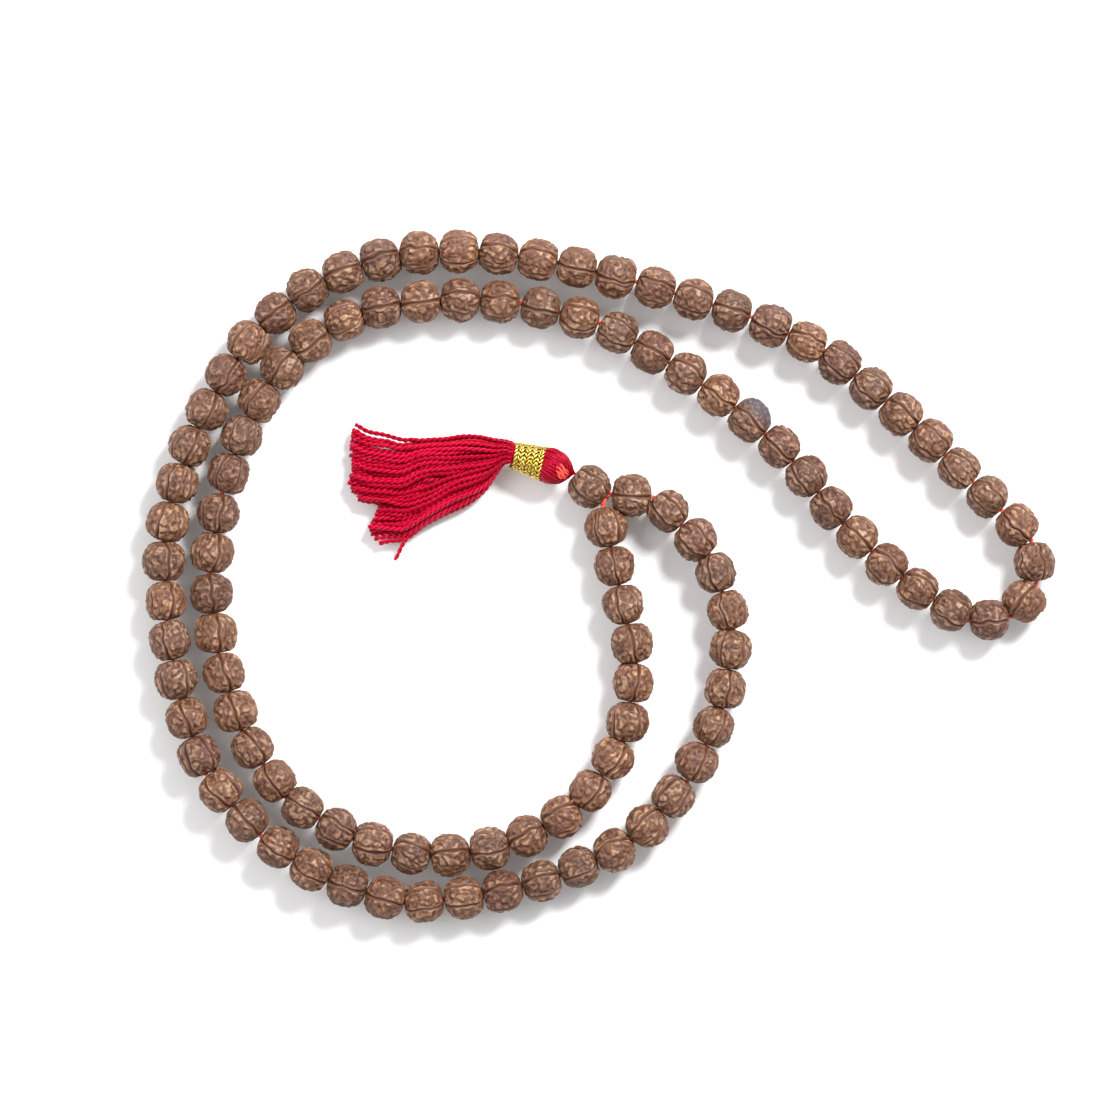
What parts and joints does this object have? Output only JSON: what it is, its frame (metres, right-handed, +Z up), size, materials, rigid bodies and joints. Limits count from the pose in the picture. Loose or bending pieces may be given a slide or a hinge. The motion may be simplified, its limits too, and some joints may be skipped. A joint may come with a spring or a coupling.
{
  "type": "mala prayer beads",
  "caption": "Loop of round wrinkled seed beads threaded on a coral cord, laid flat, with a guru bead and a gold-bound crimson tassel.",
  "frame": {"origin": "the middle of the laid-out part in plan, on the surface it lies on", "axes": "+Z up from the surface, +X towards the loop's narrow end, +Y towards the tassel's side of the loop"},
  "size_m": [0.1738, 0.1318, 0.0075],
  "materials": {
    "seed": "satin carved seed with lighter ridges",
    "guru_seed": "satin carved seed, slightly darker",
    "string": "coral red twisted thread",
    "tassel": "glossy crimson twisted thread",
    "gold": "metallic gold wrapping thread"
  },
  "bodies": {
    "string": {"thread": "string"},
    "beads_001_002_on_string": {"beads_001_002": "seed"},
    "beads_003_004_on_string": {"beads_003_004": "seed"},
    "beads_005_006_on_string": {"beads_005_006": "seed"},
    "beads_007_008_on_string": {"beads_007_008": "seed"},
    "beads_009_010_on_string": {"beads_009_010": "seed"},
    "beads_011_012_on_string": {"beads_011_012": "seed"},
    "beads_013_014_on_string": {"beads_013_014": "seed"},
    "beads_015_016_on_string": {"beads_015_016": "seed"},
    "beads_017_018_on_string": {"beads_017_018": "seed"},
    "beads_019_020_on_string": {"beads_019_020": "seed"},
    "beads_021_022_on_string": {"beads_021_022": "seed"},
    "beads_023_024_on_string": {"beads_023_024": "seed"},
    "beads_025_026_on_string": {"beads_025_026": "seed"},
    "beads_027_028_on_string": {"beads_027_028": "seed"},
    "beads_029_030_on_string": {"beads_029_030": "seed"},
    "beads_031_032_on_string": {"beads_031_032": "seed"},
    "beads_033_034_on_string": {"beads_033_034": "seed"},
    "beads_035_036_on_string": {"beads_035_036": "seed"},
    "beads_037_038_on_string": {"beads_037_038": "seed"},
    "beads_039_040_on_string": {"beads_039_040": "seed"},
    "beads_041_042_on_string": {"beads_041_042": "seed"},
    "beads_043_044_on_string": {"beads_043_044": "seed"},
    "beads_045_046_on_string": {"beads_045_046": "seed"},
    "beads_047_048_on_string": {"beads_047_048": "seed"},
    "bead_049_on_string": {"bead_049": "seed"},
    "bead_050_on_string": {"bead_050": "seed"},
    "bead_051_on_string": {"bead_051": "seed"},
    "bead_052_on_string": {"bead_052": "seed"},
    "beads_053_055_on_string": {"beads_053_055": "seed"},
    "beads_056_058_on_string": {"beads_056_058": "seed"},
    "beads_059_060_on_string": {"beads_059_060": "seed"},
    "beads_061_063_on_string": {"beads_061_063": "seed"},
    "beads_064_065_on_string": {"beads_064_065": "seed"},
    "beads_066_067_on_string": {"beads_066_067": "seed"},
    "beads_068_069_on_string": {"beads_068_069": "seed"},
    "beads_070_071_on_string": {"beads_070_071": "seed"},
    "beads_072_073_on_string": {"beads_072_073": "seed"},
    "beads_074_075_on_string": {"beads_074_075": "seed"},
    "beads_076_077_on_string": {"beads_076_077": "seed"},
    "beads_078_079_on_string": {"beads_078_079": "seed"},
    "beads_080_081_on_string": {"beads_080_081": "seed"},
    "beads_082_083_on_string": {"beads_082_083": "seed"},
    "beads_084_085_on_string": {"beads_084_085": "seed"},
    "beads_086_087_on_string": {"beads_086_087": "seed"},
    "beads_088_089_on_string": {"beads_088_089": "seed"},
    "beads_090_091_on_string": {"beads_090_091": "seed"},
    "beads_092_093_on_string": {"beads_092_093": "seed"},
    "beads_094_095_on_string": {"beads_094_095": "seed"},
    "beads_096_097_on_string": {"beads_096_097": "seed"},
    "beads_098_099_on_string": {"beads_098_099": "seed"},
    "beads_100_101_on_string": {"beads_100_101": "seed"},
    "beads_102_103_on_string": {"beads_102_103": "seed"},
    "beads_104_105_on_string": {"beads_104_105": "seed"},
    "beads_106_107_on_string": {"beads_106_107": "seed"},
    "bead_108_on_string": {"bead_108": "seed"},
    "guru": {"guru_bead": "guru_seed"},
    "tassel_head_and_binding": {"tassel_head": "tassel", "gold_binding": "gold"},
    "skirt": {"tassel_skirt": "tassel"}
  },
  "joints": [
    {"name": "tassel_swing", "type": "hinge", "parent": "string", "child": "tassel_head_and_binding", "pos_m": [-0.00462, 0.01967, 0.00376], "axis": [0, 0, 1], "range_deg": [-15, 15]},
    {"name": "skirt_swing", "type": "hinge", "parent": "tassel_head_and_binding", "child": "skirt", "pos_m": [-0.01784, 0.02364, 0.00376], "axis": [0, 0, 1], "range_deg": [-10, 10]},
    {"name": "guru_bead_spin", "type": "hinge", "parent": "string", "child": "guru", "pos_m": [-0.00187, 0.01717, 0.00376], "axis": [-0.7385, 0.6743, 0], "continuous": true},
    {"name": "beads_001_002_spin", "type": "hinge", "parent": "string", "child": "beads_001_002_on_string", "pos_m": [0.0021, 0.00576, 0.00376], "axis": [0.2139, -0.9769, 0], "continuous": true},
    {"name": "beads_003_004_spin", "type": "hinge", "parent": "string", "child": "beads_003_004_on_string", "pos_m": [0.00537, -0.00904, 0.00376], "axis": [0.2167, -0.9762, 0], "continuous": true},
    {"name": "beads_005_006_spin", "type": "hinge", "parent": "string", "child": "beads_005_006_on_string", "pos_m": [0.00586, -0.02394, 0.00376], "axis": [-0.1521, -0.9884, 0], "continuous": true},
    {"name": "beads_007_008_spin", "type": "hinge", "parent": "string", "child": "beads_007_008_on_string", "pos_m": [0.00041, -0.03768, 0.00376], "axis": [-0.5661, -0.8243, 0], "continuous": true},
    {"name": "beads_009_010_spin", "type": "hinge", "parent": "string", "child": "beads_009_010_on_string", "pos_m": [-0.01053, -0.04757, 0.00376], "axis": [-0.8772, -0.4801, 0], "continuous": true},
    {"name": "beads_011_012_spin", "type": "hinge", "parent": "string", "child": "beads_011_012_on_string", "pos_m": [-0.02467, -0.05241, 0.00376], "axis": [-0.9875, -0.1576, 0], "continuous": true},
    {"name": "beads_013_014_spin", "type": "hinge", "parent": "string", "child": "beads_013_014_on_string", "pos_m": [-0.03953, -0.05182, 0.00376], "axis": [-0.9719, 0.2354, 0], "continuous": true},
    {"name": "beads_015_016_spin", "type": "hinge", "parent": "string", "child": "beads_015_016_on_string", "pos_m": [-0.05333, -0.04603, 0.00376], "axis": [-0.8493, 0.5279, 0], "continuous": true},
    {"name": "beads_017_018_spin", "type": "hinge", "parent": "string", "child": "beads_017_018_on_string", "pos_m": [-0.06399, -0.03573, 0.00376], "axis": [-0.5564, 0.8309, 0], "continuous": true},
    {"name": "beads_019_020_spin", "type": "hinge", "parent": "string", "child": "beads_019_020_on_string", "pos_m": [-0.07045, -0.02198, 0.00376], "axis": [-0.2878, 0.9577, 0], "continuous": true},
    {"name": "beads_021_022_spin", "type": "hinge", "parent": "string", "child": "beads_021_022_on_string", "pos_m": [-0.07353, -0.00699, 0.00376], "axis": [-0.1112, 0.9938, 0], "continuous": true},
    {"name": "beads_023_024_spin", "type": "hinge", "parent": "string", "child": "beads_023_024_on_string", "pos_m": [-0.07312, 0.00833, 0.00376], "axis": [0.1587, 0.9873, 0], "continuous": true},
    {"name": "beads_025_026_spin", "type": "hinge", "parent": "string", "child": "beads_025_026_on_string", "pos_m": [-0.06939, 0.02327, 0.00376], "axis": [0.328, 0.9447, 0], "continuous": true},
    {"name": "beads_027_028_spin", "type": "hinge", "parent": "string", "child": "beads_027_028_on_string", "pos_m": [-0.0626, 0.03668, 0.00376], "axis": [0.5667, 0.8239, 0], "continuous": true},
    {"name": "beads_029_030_spin", "type": "hinge", "parent": "string", "child": "beads_029_030_on_string", "pos_m": [-0.05182, 0.04686, 0.00376], "axis": [0.8553, 0.5182, 0], "continuous": true},
    {"name": "beads_031_032_spin", "type": "hinge", "parent": "string", "child": "beads_031_032_on_string", "pos_m": [-0.03782, 0.0518, 0.00376], "axis": [0.9909, 0.1344, 0], "continuous": true},
    {"name": "beads_033_034_spin", "type": "hinge", "parent": "string", "child": "beads_033_034_on_string", "pos_m": [-0.02274, 0.05248, 0.00376], "axis": [0.999, -0.0452, 0], "continuous": true},
    {"name": "beads_035_036_spin", "type": "hinge", "parent": "string", "child": "beads_035_036_on_string", "pos_m": [-0.00751, 0.05026, 0.00376], "axis": [0.9711, -0.2386, 0], "continuous": true},
    {"name": "beads_037_038_spin", "type": "hinge", "parent": "string", "child": "beads_037_038_on_string", "pos_m": [0.00673, 0.04462, 0.00376], "axis": [0.8684, -0.4958, 0], "continuous": true},
    {"name": "beads_039_040_spin", "type": "hinge", "parent": "string", "child": "beads_039_040_on_string", "pos_m": [0.01959, 0.03661, 0.00376], "axis": [0.8282, -0.5604, 0], "continuous": true},
    {"name": "beads_041_042_spin", "type": "hinge", "parent": "string", "child": "beads_041_042_on_string", "pos_m": [0.03147, 0.02725, 0.00376], "axis": [0.7381, -0.6747, 0], "continuous": true},
    {"name": "beads_043_044_spin", "type": "hinge", "parent": "string", "child": "beads_043_044_on_string", "pos_m": [0.04171, 0.01614, 0.00376], "axis": [0.613, -0.7901, 0], "continuous": true},
    {"name": "beads_045_046_spin", "type": "hinge", "parent": "string", "child": "beads_045_046_on_string", "pos_m": [0.05188, 0.00496, 0.00376], "axis": [0.7283, -0.6853, 0], "continuous": true},
    {"name": "beads_047_048_spin", "type": "hinge", "parent": "string", "child": "beads_047_048_on_string", "pos_m": [0.06376, -0.00437, 0.00376], "axis": [0.839, -0.5442, 0], "continuous": true},
    {"name": "bead_049_spin", "type": "hinge", "parent": "string", "child": "bead_049_on_string", "pos_m": [0.0742, -0.00816, 0.00376], "axis": [0.9968, 0.0802, 0], "continuous": true},
    {"name": "bead_050_spin", "type": "hinge", "parent": "string", "child": "bead_050_on_string", "pos_m": [0.08083, -0.00458, 0.00376], "axis": [0.6172, 0.7868, 0], "continuous": true},
    {"name": "bead_051_spin", "type": "hinge", "parent": "string", "child": "bead_051_on_string", "pos_m": [0.08288, 0.00284, 0.00376], "axis": [-0.1223, 0.9925, 0], "continuous": true},
    {"name": "bead_052_spin", "type": "hinge", "parent": "string", "child": "bead_052_on_string", "pos_m": [0.07947, 0.00982, 0.00376], "axis": [-0.7172, 0.6968, 0], "continuous": true},
    {"name": "beads_053_055_spin", "type": "hinge", "parent": "string", "child": "beads_053_055_on_string", "pos_m": [0.06847, 0.02062, 0.00376], "axis": [-0.7121, 0.702, 0], "continuous": true},
    {"name": "beads_056_058_spin", "type": "hinge", "parent": "string", "child": "beads_056_058_on_string", "pos_m": [0.05163, 0.03587, 0.00376], "axis": [-0.7689, 0.6393, 0], "continuous": true},
    {"name": "beads_059_060_spin", "type": "hinge", "parent": "string", "child": "beads_059_060_on_string", "pos_m": [0.03599, 0.04629, 0.00376], "axis": [-0.9095, 0.4157, 0], "continuous": true},
    {"name": "beads_061_063_spin", "type": "hinge", "parent": "string", "child": "beads_061_063_on_string", "pos_m": [0.01793, 0.05287, 0.00376], "axis": [-0.956, 0.2934, 0], "continuous": true},
    {"name": "beads_064_065_spin", "type": "hinge", "parent": "string", "child": "beads_064_065_on_string", "pos_m": [-0.0006, 0.05806, 0.00376], "axis": [-0.9724, 0.2333, 0], "continuous": true},
    {"name": "beads_066_067_spin", "type": "hinge", "parent": "string", "child": "beads_066_067_on_string", "pos_m": [-0.01547, 0.06095, 0.00376], "axis": [-0.9891, 0.1473, 0], "continuous": true},
    {"name": "beads_068_069_spin", "type": "hinge", "parent": "string", "child": "beads_068_069_on_string", "pos_m": [-0.03055, 0.06183, 0.00376], "axis": [-0.9995, -0.0307, 0], "continuous": true},
    {"name": "beads_070_071_spin", "type": "hinge", "parent": "string", "child": "beads_070_071_on_string", "pos_m": [-0.04532, 0.05921, 0.00376], "axis": [-0.9489, -0.3155, 0], "continuous": true},
    {"name": "beads_072_073_spin", "type": "hinge", "parent": "string", "child": "beads_072_073_on_string", "pos_m": [-0.05864, 0.05234, 0.00376], "axis": [-0.8075, -0.5898, 0], "continuous": true},
    {"name": "beads_074_075_spin", "type": "hinge", "parent": "string", "child": "beads_074_075_on_string", "pos_m": [-0.06898, 0.04157, 0.00376], "axis": [-0.5562, -0.8311, 0], "continuous": true},
    {"name": "beads_076_077_spin", "type": "hinge", "parent": "string", "child": "beads_076_077_on_string", "pos_m": [-0.07637, 0.02838, 0.00376], "axis": [-0.4182, -0.9083, 0], "continuous": true},
    {"name": "beads_078_079_spin", "type": "hinge", "parent": "string", "child": "beads_078_079_on_string", "pos_m": [-0.08132, 0.01413, 0.00376], "axis": [-0.235, -0.972, 0], "continuous": true},
    {"name": "beads_080_081_spin", "type": "hinge", "parent": "string", "child": "beads_080_081_on_string", "pos_m": [-0.08278, -0.00082, 0.00376], "axis": [0.0422, -0.9991, 0], "continuous": true},
    {"name": "beads_082_083_spin", "type": "hinge", "parent": "string", "child": "beads_082_083_on_string", "pos_m": [-0.08119, -0.01587, 0.00376], "axis": [0.1674, -0.9859, 0], "continuous": true},
    {"name": "beads_084_085_spin", "type": "hinge", "parent": "string", "child": "beads_084_085_on_string", "pos_m": [-0.07746, -0.03051, 0.00376], "axis": [0.3248, -0.9458, 0], "continuous": true},
    {"name": "beads_086_087_spin", "type": "hinge", "parent": "string", "child": "beads_086_087_on_string", "pos_m": [-0.06969, -0.04358, 0.00376], "axis": [0.6681, -0.7441, 0], "continuous": true},
    {"name": "beads_088_089_spin", "type": "hinge", "parent": "string", "child": "beads_088_089_on_string", "pos_m": [-0.05804, -0.05361, 0.00376], "axis": [0.8389, -0.5443, 0], "continuous": true},
    {"name": "beads_090_091_spin", "type": "hinge", "parent": "string", "child": "beads_090_091_on_string", "pos_m": [-0.04444, -0.05999, 0.00376], "axis": [0.9548, -0.2972, 0], "continuous": true},
    {"name": "beads_092_093_spin", "type": "hinge", "parent": "string", "child": "beads_092_093_on_string", "pos_m": [-0.02965, -0.06155, 0.00376], "axis": [0.9958, 0.0918, 0], "continuous": true},
    {"name": "beads_094_095_spin", "type": "hinge", "parent": "string", "child": "beads_094_095_on_string", "pos_m": [-0.01477, -0.0589, 0.00376], "axis": [0.966, 0.2585, 0], "continuous": true},
    {"name": "beads_096_097_spin", "type": "hinge", "parent": "string", "child": "beads_096_097_on_string", "pos_m": [-0.00057, -0.05374, 0.00376], "axis": [0.9069, 0.4213, 0], "continuous": true},
    {"name": "beads_098_099_spin", "type": "hinge", "parent": "string", "child": "beads_098_099_on_string", "pos_m": [0.0116, -0.04464, 0.00376], "axis": [0.6679, 0.7443, 0], "continuous": true},
    {"name": "beads_100_101_spin", "type": "hinge", "parent": "string", "child": "beads_100_101_on_string", "pos_m": [0.0202, -0.03192, 0.00376], "axis": [0.436, 0.9, 0], "continuous": true},
    {"name": "beads_102_103_spin", "type": "hinge", "parent": "string", "child": "beads_102_103_on_string", "pos_m": [0.02456, -0.01759, 0.00376], "axis": [0.1388, 0.9903, 0], "continuous": true},
    {"name": "beads_104_105_spin", "type": "hinge", "parent": "string", "child": "beads_104_105_on_string", "pos_m": [0.02331, -0.00285, 0.00376], "axis": [-0.3036, 0.9528, 0], "continuous": true},
    {"name": "beads_106_107_spin", "type": "hinge", "parent": "string", "child": "beads_106_107_on_string", "pos_m": [0.0157, 0.00978, 0.00376], "axis": [-0.7001, 0.714, 0], "continuous": true},
    {"name": "bead_108_spin", "type": "hinge", "parent": "string", "child": "bead_108_on_string", "pos_m": [0.00616, 0.01548, 0.00376], "axis": [-0.9977, 0.0676, 0], "continuous": true}
  ]
}
